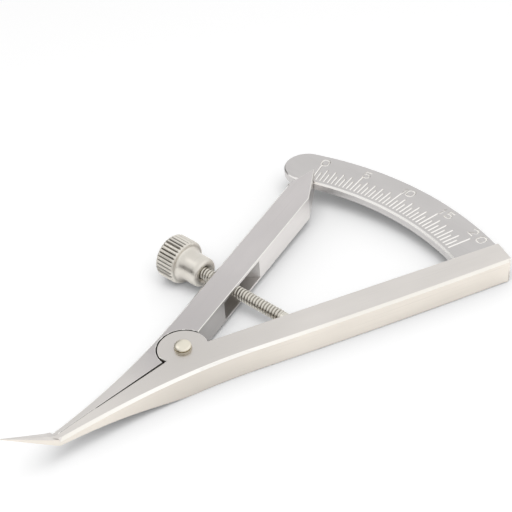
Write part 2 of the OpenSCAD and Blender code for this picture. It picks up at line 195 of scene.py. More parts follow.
class StageSettings(bpy.types.PropertyGroup):
    lens: FloatProperty(name="Lens", description="Focal length in millimetres",
                        default=101.03, min=20, max=300)
    room: strength("Room light", "Strength of the room's light on the table", 0.5)
    lift: strength("Table lift", "White that the table adds where it is seen", 0.13)
    sheen: strength("Room in metal", "Brightness of the room as metal shows it", 0.88)
    key: strength("Key light", "Brightness of the overhead softbox", 2.05)
    front: strength("Front light", "Brightness of the front softbox", 0.2)
    rear: strength("Rear light", "Brightness of the rear softbox", 0.55)


# -------------------------------------------------------------------------------------- helpers

def settings():
    return bpy.context.scene.caliper


def linked(name, data):
    """A new object at the origin that holds the data."""
    piece = bpy.data.objects.new(name, data)
    bpy.context.scene.collection.objects.link(piece)
    return piece


def evaluated_mesh(piece):
    """The piece's evaluated shape as a new mesh."""
    graph = bpy.context.evaluated_depsgraph_get()
    graph.update()
    return bpy.data.meshes.new_from_object(piece.evaluated_get(graph), depsgraph=graph)


def plain_mesh(piece):
    """Puts the evaluated shape in the piece's mesh, and drops its modifiers."""
    mesh, old = evaluated_mesh(piece), piece.data
    piece.modifiers.clear()
    piece.data = mesh
    mesh.name = piece.name
    if old.users == 0:
        bpy.data.meshes.remove(old)
    return mesh


def mesh_of(bm, name):
    """Ends the bmesh as a new mesh."""
    mesh = bpy.data.meshes.new(name)
    bm.to_mesh(mesh)
    bm.free()
    return mesh


def join_to(mesh, others):
    """Adds the other meshes to the first, and drops them."""
    bm = bmesh.new()
    for part in (mesh, *others):
        bm.from_mesh(part)
    bm.to_mesh(mesh)
    bm.free()
    for part in others:
        bpy.data.meshes.remove(part)


def one_material(mesh, material):
    """Puts every face of the mesh in one material."""
    mesh.materials.clear()
    mesh.materials.append(material)
    mesh.polygons.foreach_set("material_index", [0] * len(mesh.polygons))


def smooth_by_angle(mesh, degrees=32):
    mesh.shade_smooth()
    mesh.set_sharp_from_angle(angle=math.radians(degrees))


def flat_faces_flat(piece):
    """Keeps big flat faces flat beside their rounded edges."""
    even = piece.modifiers.new("Even shading", "WEIGHTED_NORMAL")
    even.mode = "FACE_AREA"
    even.weight = 100
    even.keep_sharp = True
    return plain_mesh(piece)


def dressed(piece, body, node):
    """Hands the finished piece over in place of its node."""
    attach(piece, body)
    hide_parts(node)


def spread(first, last, steps):
    """Evenly spread numbers, both ends included."""
    return [first + (last - first) * i / steps for i in range(steps + 1)]


def arc(cx, cz, rx, rz, start, stop, steps):
    """Points of an arc in a profile, round or oval; angles in degrees."""
    return [(cx + rx * math.cos(math.radians(a)), cz + rz * math.sin(math.radians(a)))
            for a in spread(start, stop, steps)]


def lathe(name, profile, steps, closed=False):
    """A mesh turned round Z from (radius, height) points; closed profiles make rings."""
    bm = bmesh.new()
    rows = []
    turns = spread(0, 2 * math.pi, steps)[:-1]
    for r, z in profile:
        if r < 1e-9:
            rows.append([bm.verts.new((0, 0, z))])
        else:
            rows.append([bm.verts.new((r * math.cos(t), r * math.sin(t), z)) for t in turns])
    bands = list(zip(rows, rows[1:])) + ([(rows[-1], rows[0])] if closed else [])
    for low, high in bands:
        for i in range(steps):
            j = (i + 1) % steps
            if len(low) == 1:
                bm.faces.new((low[0], high[j], high[i]))
            elif len(high) == 1:
                bm.faces.new((low[i], low[j], high[0]))
            else:
                bm.faces.new((low[i], low[j], high[j], high[i]))
    bmesh.ops.recalc_face_normals(bm, faces=bm.faces)
    return mesh_of(bm, name)


# ----------------------------------------------------------------------------------- node trees

COUNTS = ("Marks", "Sides", "Rings", "Ridges")       # the trees' inputs that are whole numbers


def feed(tree, socket, value):
    """Links a socket to another one, or gives it a value; a colour becomes opaque."""
    if isinstance(value, bpy.types.NodeSocket):
        tree.links.new(value, socket)
    elif socket.type == "RGBA" and len(value) == 3:
        socket.default_value = (*value, 1)
    else:
        socket.default_value = value


def add_node(tree, kind, feeds=(), **choices):
    """A new node with its choices made, and its inputs fed by their names or numbers."""
    node = tree.nodes.new(kind)
    for name, value in choices.items():
        setattr(node, name, value)
    for key, value in dict(feeds).items():
        feed(tree, node.inputs[key], value)
    return node


def maths_in(tree):
    """A function that adds a Math node to the tree and returns its result."""
    def maths(kind, *values):
        return add_node(tree, "ShaderNodeMath", enumerate(values), operation=kind).outputs[0]
    return maths


def combined(tree, *values):
    """A vector of three values."""
    return add_node(tree, "ShaderNodeCombineXYZ", enumerate(values)).outputs[0]


def split(tree, vector):
    """The three values of a vector."""
    return add_node(tree, "ShaderNodeSeparateXYZ", {0: vector}).outputs


def from_axis(maths, x, y):
    """Distance from the Z axis."""
    return maths("SQRT", maths("ADD", maths("MULTIPLY", x, x), maths("MULTIPLY", y, y)))


def new_tree(name, inputs, takes_geometry=False):
    """A Geometry Nodes tree with named inputs; returns the tree, its inputs and a maths helper."""
    tree = bpy.data.node_groups.new(name, "GeometryNodeTree")
    sockets = [(label, "Int" if label in COUNTS else "Float") for label in inputs]
    if takes_geometry:
        sockets.insert(0, ("Geometry", "Geometry"))
    for label, kind in sockets:
        tree.interface.new_socket(name=label, in_out="INPUT", socket_type="NodeSocket" + kind)
    tree.interface.new_socket(name="Geometry", in_out="OUTPUT",
                              socket_type="NodeSocketGeometry")
    return tree, add_node(tree, "NodeGroupInput").outputs, maths_in(tree)


def end_tree(tree, shape, material, shaded=None):
    """Ends a tree in Realize Instances and Set Material; shaded goes on the faces whose Shaded
    attribute is true."""
    real = add_node(tree, "GeometryNodeRealizeInstances", {"Geometry": shape})
    last = add_node(tree, "GeometryNodeSetMaterial",
                    {"Geometry": real.outputs[0], "Material": material})
    if shaded is not None:
        pick = add_node(tree, "GeometryNodeInputNamedAttribute", {"Name": "Shaded"},
                        data_type="BOOLEAN")
        last = add_node(tree, "GeometryNodeSetMaterial", {
            "Geometry": last.outputs[0], "Material": shaded,
            "Selection": pick.outputs["Attribute"]})
    add_node(tree, "NodeGroupOutput", {"Geometry": last.outputs[0]})


def run_tree(piece, tree, values):
    """Adds the tree to the piece, with its named inputs set by their identifiers."""
    mod = piece.modifiers.new(tree.name, "NODES")
    mod.node_group = tree
    for socket in tree.interface.items_tree:
        if socket.in_out == "INPUT" and socket.name in values:
            mod[socket.identifier] = values[socket.name]


def stored(tree, shape, label, value, kind="FLOAT", domain="POINT"):
    """The shape with a named attribute that holds value."""
    return add_node(tree, "GeometryNodeStoreNamedAttribute",
                    {"Geometry": shape, "Name": label, "Value": value},
                    data_type=kind, domain=domain).outputs["Geometry"]


def here(tree):
    """The three values of a point's place."""
    return split(tree, add_node(tree, "GeometryNodeInputPosition").outputs[0])


def moved(tree, shape, position):
    return add_node(tree, "GeometryNodeSetPosition",
                    {"Geometry": shape, "Position": position}).outputs["Geometry"]


def drawn_in(tree, shape, pull, radius):
    """The shape with its points drawn towards the Z axis by pull, from a radius."""
    maths = maths_in(tree)
    x, y, z = here(tree)
    shrink = maths("SUBTRACT", 1.0, maths("DIVIDE", pull, radius))
    return moved(tree, shape, combined(
        tree, maths("MULTIPLY", x, shrink), maths("MULTIPLY", y, shrink), z))


# ------------------------------------------------------------------------------------ materials

# noise of the grain, the clouds and the hairlines: stretch along the brushing, scale, detail and
# roughness; turned steel has no stretch
BRUSHED = ((30, 5200, 4, 0.6), (3, 260, 3, 0.5), (60, 3600, 3, 0.5))
TURNED = ((9000, 3, 0.6), (500, 3, 0.5), (3500, 2, 0.5))
ALONG_RING = 0.05                # how much of the noise runs along a turned ring
CLOUDS = (0.97, 1.03)            # tone of the steel's darkest and lightest clouds
HAIRLINE = (0.84, 0.35)          # tone of the fine lines, and how strongly they show
ROUGHER = (-0.05, 0.07)          # change of roughness along the streaks
GRAIN_HEIGHT = 0.01 * MM


def toned(rgb, factor):
    return tuple(min(1.0, c * factor) for c in rgb)


def noise(tree, vector, scale, detail, rough):
    return add_node(tree, "ShaderNodeTexNoise", {
        "Vector": vector, "Scale": scale, "Detail": detail, "Roughness": rough}).outputs["Fac"]


def ranged(tree, value, low, high, to_low, to_high):
    return add_node(tree, "ShaderNodeMapRange", {
        "Value": value, "From Min": low, "From Max": high,
        "To Min": to_low, "To Max": to_high}).outputs["Result"]


def mixed(tree, factor, a, b):
    return add_node(tree, "ShaderNodeMix", {"Factor": factor, "A": a, "B": b},
                    data_type="RGBA").outputs["Result"]


def new_steel(name):
    """A bare metal material, its tree and the place on the piece."""
    mat = bpy.data.materials.new(name)
    mat.use_nodes = True
    tree = mat.node_tree
    tree.nodes["Principled BSDF"].inputs["Metallic"].default_value = 1.0
    return mat, tree, add_node(tree, "ShaderNodeTexCoord").outputs["Object"]


def finish(mat, rgb, roughness, grain, streaks, clouds, hairlines, painted_shading, shade):
    """Roughness and bump from the streaks, tone from the clouds and hairlines, and the colour of
    painted light where shade is 1."""
    tree = mat.node_tree
    shader = tree.nodes["Principled BSDF"].inputs
    tone = mixed(tree, ranged(tree, clouds, 0.3, 0.7, 0, 1), *(toned(rgb, c) for c in CLOUDS))
    fine = ranged(tree, hairlines, 0.60, 0.76, 0, HAIRLINE[1])
    tone = mixed(tree, fine, tone, toned(rgb, HAIRLINE[0]))
    if shade is not None:
        tone = mixed(tree, shade, tone, painted_shading)
    feed(tree, shader["Base Color"], tone)
    feed(tree, shader["Roughness"],
         ranged(tree, streaks, 0.25, 0.75, *(roughness + more for more in ROUGHER)))
    bump = add_node(tree, "ShaderNodeBump", {
        "Height": streaks, "Strength": grain, "Distance": GRAIN_HEIGHT})
    feed(tree, shader["Normal"], bump.outputs["Normal"])
    return mat


def satin_steel(name, rgb, roughness, along, grain=0.5, painted_shading=None, near=0.0, far=0.0):
    """Steel brushed along a direction in the XY plane, with painted light in the given colour
    nearer to the pivot than near, fading out to the steel's own colour past far."""
    mat, tree, where = new_steel(name)

    def brushed(stretch, *layer):
        """Noise drawn out along the direction."""
        laid = add_node(tree, "ShaderNodeMapping", {
            "Vector": where, "Rotation": (0, 0, along), "Scale": (stretch, 1, 1)},
            vector_type="TEXTURE")
        return noise(tree, laid.outputs["Vector"], *layer)

    shade = None
    if painted_shading is not None:
        away = add_node(tree, "ShaderNodeVectorMath", {0: where}, operation="LENGTH")
        shade = ranged(tree, away.outputs["Value"], near, far, 1, 0)
    layers = (brushed(*layer) for layer in BRUSHED)
    return finish(mat, rgb, roughness, grain, *layers, painted_shading, shade)


def turned_steel(name, rgb, roughness, place, grain=0.4, painted_shading=None):
    """Steel turned on a lathe, with fine rings round the Z axis of a place, and the colour of
    painted shade where the Groove attribute is 1."""
    mat, tree, where = new_steel(name)
    maths = maths_in(tree)
    local = add_node(tree, "ShaderNodeMapping", {
        "Vector": where, "Location": place.to_translation(), "Rotation": place.to_euler()},
        vector_type="TEXTURE")
    x, y, z = split(tree, local.outputs["Vector"])
    rings = combined(tree, maths("MULTIPLY", x, ALONG_RING), maths("MULTIPLY", y, ALONG_RING),
                     maths("ADD", z, from_axis(maths, x, y)))
    shade = None
    if painted_shading is not None:
        shade = add_node(tree, "ShaderNodeAttribute", attribute_name="Groove").outputs["Fac"]
    layers = (noise(tree, vector, *layer) for vector, layer in zip((rings, where, rings), TURNED))
    return finish(mat, rgb, roughness, grain, *layers, painted_shading, shade)


# ----------------------------------------------------------------------------------- the pieces

# painted light near the pivot, fading out between these distances in millimetres: painted shade
# on the tops and the frame arm's side, a painted highlight on the frame arm's edge
FADES = {"frame_arm_top": (2, 20), "frame_arm_side": (4, 18), "frame_arm_edge": (12, 24),
         "pointer_arm_top": (8, 20), "pointer_jaw_top": (5.6, 11)}
# places along x
NEEDLES = -24 * MM               # the jaws are slender bent needles beyond this
SHARP_END = -22 * MM             # and no edge is eased beyond this
MEETING_END = -15 * MM           # the jaws' meeting edges are eased up to this
CLOSING_SHADE_END = -16 * MM            # and their inner faces are painted dark up to this, as painted shade
WORN_FROM = 16 * MM              # the lower edges are fully worn from here on
# the least heights of faces of the top, of its bevels and of the window's walls
TOP, BEVEL, BASE = 4.3 * MM, 3.9 * MM, 0.3 * MM
# the upward part of a normal: least for a flat face, least for a slope, and a chamfer's own
FLAT_UP, SLOPE_UP, CHAMFER_UP = 0.97, 0.2, 0.707
WINDOW = (11 * MM, 24 * MM)      # the window's walls lie between these distances from the pivot


class CALIPER_OT_arms(bpy.types.Operator):
    """The frame arm and the pointer arm, in satin steel with eased edges"""
    bl_idname = "caliper.arms"
    bl_label = "Build the arms"

    def execute(self, context):
        s = settings().arms

        def steel(name, rgb, turn, painted_shading=None, roughness=s.roughness):
            near, far = (reach * MM for reach in FADES.get(name, (0, 0)))
            return satin_steel(name, rgb, roughness, turn, painted_shading=painted_shading, near=near, far=far)

        top, side, turn = s.frame_top, s.frame_side, s.frame_turn
        self.arm("frame_arm", "frame", "frame_steel", turn, {
            "top": steel("frame_arm_top", top, turn, toned(top, 0.85)),
            "side": steel("frame_arm_side", side, turn, toned(side, 0.84)),
            "edge": steel("frame_arm_edge", s.frame_edge_highlight, turn, s.edge),
            "gap": steel("frame_arm_gap", s.painted_shading, turn, roughness=s.ground),
            # painted shade: the frame arm's recessed walls and the gaps' steep walls are darkened
            "hollow": steel("frame_arm_fork", toned(side, 0.68), turn, roughness=s.milled)})
        top, side, turn = s.pointer_top, s.pointer_side, s.pointer_turn
        # painted shade on the pointer arm's top and jaw top near the lap
        shade_near_lap = toned(top, 0.88)
        self.arm("pointer_arm", "pointer", "pointer_steel", turn, {
            "top": steel("pointer_arm_top", top, turn, shade_near_lap),
            "side": steel("pointer_arm_side", side, turn),
            "edge": steel("pointer_arm_edge", s.edge, turn),
            "gap": steel("pointer_arm_gap", s.painted_shading, turn, roughness=s.ground),
            # painted shade: the window's walls and the gaps' steep walls are darkened
            "hollow": steel("pointer_arm_window", toned(side, 0.74), turn, roughness=s.milled),
            # painted reflection of the shaded table between the arms, darker near the pivot
            "inner": satin_steel("pointer_arm_inner", side, s.roughness, turn,
                                 painted_shading=toned(side, 0.55), near=s.shade_start, far=s.shade_end),
            "jaw": steel("pointer_jaw_top", s.jaw_top, 0.0, shade_near_lap)})
        return {"FINISHED"}

    def arm(self, node, body, slot, turn, steels):
        """One arm from its construction shape, with eased edges and its steels."""
        s = settings().arms
        bm = bmesh.new()
        bm.from_mesh(frame["nodes"][node].data)
        bmesh.ops.remove_doubles(bm, verts=bm.verts, dist=1e-6)
        # the chamfers along the curved jaws are cut too finely for an even rounding
        sloped = [v for v in bm.verts if any(self.is_chamfer(face) for face in v.link_faces)]
        bmesh.ops.remove_doubles(bm, verts=sloped, dist=0.13 * MM)
        bmesh.ops.dissolve_degenerate(bm, dist=0.005 * MM, edges=bm.edges)
        bmesh.ops.dissolve_limit(bm, angle_limit=math.radians(0.02), verts=bm.verts,
                                 edges=bm.edges)
        eased = bm.edges.layers.float.new("bevel_weight_edge")
        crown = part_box("pivot_washer")[0].z
        across = Vector((math.sin(turn), -math.cos(turn), 0))
        for edge in bm.edges:
            if self.is_sharp_rim(edge, crown):
                edge[eased] = (s.ease + (s.worn - s.ease) * self.wear(edge, across)) / s.worn
        piece = linked(node + "_steel", mesh_of(bm, node + "_steel"))
        ease = piece.modifiers.new("Eased edges", "BEVEL")
        ease.width = s.worn
        ease.segments = 3
        ease.limit_method = "WEIGHT"
        ease.use_clamp_overlap = False
        mesh = plain_mesh(piece)
        smooth_by_angle(mesh)
        for face in mesh.polygons:
            face.use_smooth = abs(face.normal.z) < 0.9999
        mesh = flat_faces_flat(piece)
        mesh.materials.clear()
        for steel in steels.values():
            mesh.materials.append(steel)
        for face in mesh.polygons:
            name = self.steel_of(face, across)
            if name not in steels:
                name = "top" if name == "jaw" else "side"
            face.material_index = list(steels).index(name)
        dressed(piece, body, node)

    def steel_of(self, face, across):
        """Which of an arm's steels a face takes; across points from the pointer arm to the
        frame arm."""
        s = settings().arms
        middle, up = face.center, face.normal.z
        reach, facing = math.hypot(middle.x, middle.y), face.normal.dot(across)
        jaw = middle.x < -s.lap_radius + 0.5 * s.gap
        lap = abs(reach - s.lap_radius) < 0.5 * s.gap
        closing = jaw and abs(middle.y) < s.gap and middle.x > CLOSING_SHADE_END
        # gap faces take painted shade: gap steel when sloped, darkened hollow steel when steep
        if (lap or closing) and abs(up) < 0.95:
            return "gap" if up > SLOPE_UP else "hollow"
        if up > FLAT_UP and middle.z > TOP or middle.x < NEEDLES and up > 0.5:
            return "jaw" if jaw else "top"
        # the bevels along the top take the edge steel, a painted highlight
        if SLOPE_UP < up <= FLAT_UP and middle.z > BEVEL:
            return "edge"
        # the window's walls take the darkened hollow steel, as painted shade
        beside_window = WINDOW[0] < reach < WINDOW[1] and middle.x > 0 and middle.z > BASE
        if beside_window and abs(facing) < 0.9:
            return "hollow"
        return "inner" if facing > 0.98 and middle.x > 0 else "side"

    def is_chamfer(self, face):
        return abs(face.normal.z - CHAMFER_UP) < 0.03 and face.calc_center_median().x > NEEDLES

    def is_sharp_rim(self, edge, crown):
        """True for the long square edges of the arm's top and bottom outlines."""
        a, b = (v.co for v in edge.verts)
        middle = (a.x + b.x) / 2
        if len(edge.link_faces) != 2 or (a - b).length < 0.12 * MM or middle < SHARP_END:
            return False
        if middle < MEETING_END and abs(a.y) + abs(b.y) < MM:
            return False
        off = max(min(a.z, crown - a.z), min(b.z, crown - b.z), abs(a.z - b.z))
        square = math.radians(60) < edge.calc_face_angle(0) < math.radians(120)
        return off < 0.01 * MM and square

    def wear(self, edge, across):
        """How worn an edge is, from 0 to 1: the lower edges that face outwards on the frame
        arm's side are worn, more and more along x."""
        start = edge.verts[0].co
        outer = any(face.normal.dot(across) >= 0.5 for face in edge.link_faces)
        return min(1.0, max(0.0, start.x / WORN_FROM)) if outer and start.z < 0.05 * MM else 0.0


def mark_tree(lit, shaded):
    """Nodes that lay out the wedge-shaped cutters of the scale's marks along its law."""
    tree, given, maths = new_tree("Scale marks", (
        "Marks", "Zero", "Tip radius", "Start", "Half end", "Whole end", "Five end", "Width",
        "Depth", "Level"))
    index = add_node(tree, "GeometryNodeInputIndex").outputs[0]
    opening = maths("MULTIPLY", index, 0.5 * MM)
    half_turn = maths("ARCSINE", maths(
        "DIVIDE", opening, maths("MULTIPLY", 2.0, given["Tip radius"])))
    turn = maths("SUBTRACT", given["Zero"], maths("MULTIPLY", 2.0, half_turn))
    whole = maths("LESS_THAN", maths("MODULO", index, 2.0), 0.5)
    five = maths("LESS_THAN", maths("MODULO", index, 10.0), 0.5)
    longer = maths("MULTIPLY", whole, maths("SUBTRACT", given["Whole end"], given["Half end"]))
    longest = maths("MULTIPLY", five, maths("SUBTRACT", given["Five end"], given["Whole end"]))
    end = maths("ADD", given["Half end"], maths("ADD", longer, longest))
    middle = maths("MULTIPLY", 0.5, maths("ADD", given["Start"], end))
    line = add_node(tree, "GeometryNodeMeshLine", {"Count": given["Marks"]})
    points = moved(tree, line.outputs["Mesh"], combined(
        tree, maths("MULTIPLY", middle, maths("COSINE", turn)),
        maths("MULTIPLY", middle, maths("SINE", turn)), given["Level"]))
    cube = add_node(tree, "GeometryNodeMeshCube", {"Size": (1, 1, 1)})
    way = split(tree, add_node(tree, "GeometryNodeInputNormal").outputs[0])
    sided = stored(tree, cube.outputs["Mesh"], "Shaded", maths("LESS_THAN", way["Y"], -0.5),
                   "BOOLEAN", "FACE")
    # the wedge stands half above the surface, where it is twice as wide as the mark
    x, y, z = here(tree)
    wedge = moved(tree, sided, combined(
        tree, x, maths("MULTIPLY", y, maths("GREATER_THAN", z, 0.0)), z))
    weld = add_node(tree, "GeometryNodeMergeByDistance", {"Geometry": wedge})
    size = combined(tree, maths("SUBTRACT", end, given["Start"]),
                    maths("MULTIPLY", 2.0, given["Width"]),
                    maths("MULTIPLY", 2.0, given["Depth"]))
    many = add_node(tree, "GeometryNodeInstanceOnPoints", {
        "Points": points, "Instance": weld.outputs["Geometry"],
        "Rotation": combined(tree, 0, 0, turn), "Scale": size})
    end_tree(tree, many.outputs["Instances"], lit, shaded)
    return tree


# the stamped digits of 0, 5, 10, 15 and 20: distance from the pivot in millimetres and angle in
# degrees
DIGITS = (("0", 52.43, 19.65), ("5", 52.4, 10.84), ("1", 52.2, 2.3), ("0", 52.4, 1.01),
          ("1", 52.5, -6.83), ("5", 52.65, -8.41), ("2", 53.0, -14.7), ("0", 52.9, -17.15))


def digit_strokes(digit):
    """Strokes of a digit in a box 0.8 wide and 1 high: (points, closed)."""
    def bow(cx, cy, rx, ry, start, stop, steps, square=1.0):
        turns = [math.radians(a) for a in spread(start, stop, steps)]
        return [(cx + rx * math.copysign(abs(math.cos(t)) ** square, math.cos(t)),
                 cy + ry * math.copysign(abs(math.sin(t)) ** square, math.sin(t)))
                for t in turns]
    if digit == "0":
        return [(bow(0.4, 0.5, 0.4, 0.5, 0, 348, 29, 0.75), True)]
    if digit == "1":
        return [([(0.16, 0.74), (0.44, 1.0), (0.44, 0.0)], False)]
    if digit == "2":
        return [(bow(0.40, 0.71, 0.37, 0.29, 165, -35, 12) + [(0.04, 0.0), (0.78, 0.0)], False)]
    if digit == "5":
        return [([(0.74, 1.0), (0.14, 1.0), (0.08, 0.56)]
                 + bow(0.38, 0.32, 0.38, 0.32, 125, -140, 16), False)]
    raise ValueError("the scale has no digit " + digit)


def digit_cutter(p, digit, reach, turn, level):
    """A round-stroked cutter for one digit, upright to a reader outside the arc, at a distance
    and an angle."""
    curve = bpy.data.curves.new("digit_" + digit, "CURVE")
    curve.dimensions = "3D"
    curve.bevel_depth = p.stroke
    curve.bevel_resolution = 2
    curve.use_fill_caps = True
    for points, closed in digit_strokes(digit):
        spline = curve.splines.new("POLY")
        spline.points.add(len(points) - 1)
        for point, (x, y) in zip(spline.points, points):
            point.co = ((x - 0.4) * p.number_height, (y - 0.5) * p.number_height, 0, 1)
        spline.use_cyclic_u = closed
    piece = linked("digit_" + digit, curve)
    mesh = evaluated_mesh(piece)
    bpy.data.objects.remove(piece)
    turn = math.radians(turn)
    for face in mesh.polygons:
        face.material_index = 2 if face.normal.x > 0.3 else 1
    mesh.transform(Matrix.Translation((reach * math.cos(turn), reach * math.sin(turn), level))
                   @ Matrix.Rotation(turn - math.pi / 2, 4, "Z"))
    return mesh


class CALIPER_OT_plate(bpy.types.Operator):
    """The scale plate, engraved with half-millimetre marks and numbers"""
    bl_idname = "caliper.plate"
    bl_label = "Build the scale plate"

    def execute(self, context):
        p = settings().plate
        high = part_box("scale_plate")[1].z
        grain_way = math.radians(88)
        lit = satin_steel("engraved_marks", p.mark, 0.4, 0.0, grain=0.2)
        shaded = satin_steel("engraved_shade", p.shade, 0.4, 0.0, grain=0.2)
        mesh = self.blank(p)
        for steel in (satin_steel("plate_steel", p.face, p.roughness, grain_way, grain=0.4),
                      satin_steel("plate_side", p.face, p.roughness, grain_way),
                      satin_steel("plate_edge", p.edge, 0.25, grain_way, grain=0.2)):
            mesh.materials.append(steel)
        for face in mesh.polygons:
            up, out = face.normal.z, math.hypot(face.center.x, face.center.y)
            # the sloped faces by the inner edge take the bright edge steel, a painted highlight
            bright = up > 0.3 and out < p.inner_radius + 1 * MM
            face.material_index = 0 if abs(up) > 0.95 else 2 if bright else 1
        piece = linked("scale_plate_steel", mesh)
        cutter = linked("scale_cutter", bpy.data.meshes.new("scale_cutter"))
        run_tree(cutter, mark_tree(lit, shaded), {
            "Marks": 2 * p.reading + 1, "Zero": p.zero, "Tip radius": p.tip_radius,
            "Start": p.mark_start, "Half end": p.mark_half, "Whole end": p.mark_whole,
            "Five end": p.mark_five, "Width": p.mark_width, "Depth": p.mark_depth,
            "Level": high})
        marks = plain_mesh(cutter)
        join_to(marks, [digit_cutter(p, digit, reach * MM, turn, high + p.lift)
                        for digit, reach, turn in DIGITS])
        # the marks and the digits keep their lit and shaded faces, which are numbered from 1
        sides = [max(0, face.material_index - 1) for face in marks.polygons]
        marks.materials.clear()
        marks.materials.append(lit)
        marks.materials.append(shaded)
        marks.polygons.foreach_set("material_index", sides)
        engrave = piece.modifiers.new("Engraving", "BOOLEAN")
        engrave.operation = "DIFFERENCE"
        engrave.object = cutter
        engrave.solver = "EXACT"
        engrave.use_self = True
        engrave.material_mode = "TRANSFER"
        mesh = plain_mesh(piece)
        bpy.data.objects.remove(cutter)
        smooth_by_angle(mesh, 10)
        dressed(piece, "frame", "scale_plate")
        return {"FINISHED"}

    def blank(self, p):
        """The plate without its engraving: a ring sector with a round end, and a tongue in the
        frame arm."""
        low, high = (v.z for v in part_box("scale_plate"))
        middle = (p.inner_radius + p.outer_radius) / 2
        half = (p.outer_radius - p.inner_radius) / 2
        grip = settings().arms.frame_turn
        start = grip + math.asin(-p.set_back / middle) - p.bury / middle
        stop = math.asin((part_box("scale_plate")[1].y - half) / middle)
        step = grip - math.asin(p.set_back / p.outer_radius)
        step_in = grip - math.asin(p.set_back / p.seat_radius)

        def polar(r, a):
            return Vector((math.cos(a), math.sin(a))) * r

        # (point, direction into the plate) along the inner edge, round the end, back along the
        # outer edge, and across the tongue
        outline = [(polar(p.inner_radius, a), polar(1, a)) for a in spread(start, stop, 160)]
        outline += [(polar(middle, stop) + polar(half, a), polar(-1, a))
                    for a in spread(stop + math.pi, stop, 48)[1:-1]]
        outline += [(polar(p.outer_radius, a), polar(-1, a)) for a in spread(stop, step, 160)]
        outline += [(polar(p.seat_radius, a), polar(-1, a)) for a in spread(step_in, start, 12)]
        bm = bmesh.new()
        bottom, side, top = [], [], []
        rim = p.inner_radius + p.bevel
        for point, into in outline:
            drop = max(p.ease, rim - point.length)
            inset = point + into * p.ease
            if inset.length < rim:
                inset = inset * (rim / inset.length)
            bottom.append(bm.verts.new((*point, low)))
            side.append(bm.verts.new((*point, high - drop)))
            top.append(bm.verts.new((*inset, high)))
        for i in range(len(outline)):
            j = (i + 1) % len(outline)
            bm.faces.new((bottom[i], bottom[j], side[j], side[i]))
            bm.faces.new((side[i], side[j], top[j], top[i]))
        bm.faces.new(top)
        bm.faces.new(bottom[::-1])
        bmesh.ops.remove_doubles(bm, verts=bm.verts, dist=1e-7)
        bmesh.ops.recalc_face_normals(bm, faces=bm.faces)
        return mesh_of(bm, "scale_plate_steel")


def thread_tree(material):
    """Nodes that wind a thread round a rod along Z."""
    tree, given, maths = new_tree("Thread", (
        "Radius", "Depth", "Pitch", "Length", "Sides", "Rings"))
    rod = add_node(tree, "GeometryNodeMeshCylinder", {
        "Vertices": given["Sides"], "Side Segments": given["Rings"],
        "Radius": given["Radius"], "Depth": given["Length"]})
    x, y, z = here(tree)
    phase = maths("SUBTRACT", maths("DIVIDE", z, given["Pitch"]),
                  maths("DIVIDE", maths("ARCTAN2", y, x), 2 * math.pi))
    # a V groove with a flat crest and a flat root
    wave = maths("ABSOLUTE", maths("SUBTRACT", maths("MULTIPLY", 2.0, maths("FRACT", phase)), 1.0))
    slope = maths("MULTIPLY", 1.25, maths("SUBTRACT", wave, 0.1))
    groove = maths("MINIMUM", 1.0, maths("MAXIMUM", 0.0, slope))
    # the last turn at each end tapers
    to_end = maths("SUBTRACT", maths("MULTIPLY", given["Length"], 0.5), maths("ABSOLUTE", z))
    fade = maths("SUBTRACT", 1.0, maths("MINIMUM", 1.0, maths("DIVIDE", to_end, given["Pitch"])))
    pull = maths("MULTIPLY", given["Depth"],
                 maths("MAXIMUM", groove, maths("MULTIPLY", fade, 1.4)))
    # the Groove attribute carries painted shade into the thread's roots
    marked = stored(tree, rod.outputs["Mesh"], "Groove", maths("POWER", groove, 3.0))
    end_tree(tree, drawn_in(tree, marked, pull, given["Radius"]), material)
    return tree


class CALIPER_OT_spindle(bpy.types.Operator):
    """The threaded spindle with its plain shank and its eye"""
    bl_idname = "caliper.spindle"
    bl_label = "Build the spindle"

    def execute(self, context):
        t = settings().thread
        bright = turned_steel("spindle_steel", t.steel, 0.27, ROD_PLACE, grain=0.25,
                              painted_shading=t.groove)
        piece = linked("spindle_steel", bpy.data.meshes.new("spindle_steel"))
        rings_a_turn = 12
        run_tree(piece, thread_tree(bright), {
            "Radius": t.radius, "Depth": t.depth, "Pitch": t.pitch, "Length": t.span,
            "Sides": 48, "Rings": round(t.span / t.pitch * rings_a_turn)})
        mesh = plain_mesh(piece)
        mesh.transform(ROD_PLACE @ Matrix.Translation((0, 0, t.start + t.span / 2)))
        edge, high = 0.1 * MM, t.radius
        eye = lathe("eye", [
            (t.eye_bore, -high), (t.eye - edge, -high), (t.eye, edge - high),
            (t.eye, high - edge), (t.eye - edge, high), (t.eye_bore, high)], 64, True)
        eye.transform(Matrix.Translation(SWIVEL))
        core = t.radius - t.depth / 2
        foot, end = 0.7 * MM, t.start + 0.2 * MM     # inside the eye, and inside the thread
        shank = lathe("shank", [(0, foot), (core, foot), (core, end), (0, end)], 48)
        shank.transform(ROD_PLACE)
        join_to(mesh, (eye, shank))
        one_material(mesh, bright)
        smooth_by_angle(mesh, 50)
        dressed(piece, "screw", "spindle")
        return {"FINISHED"}


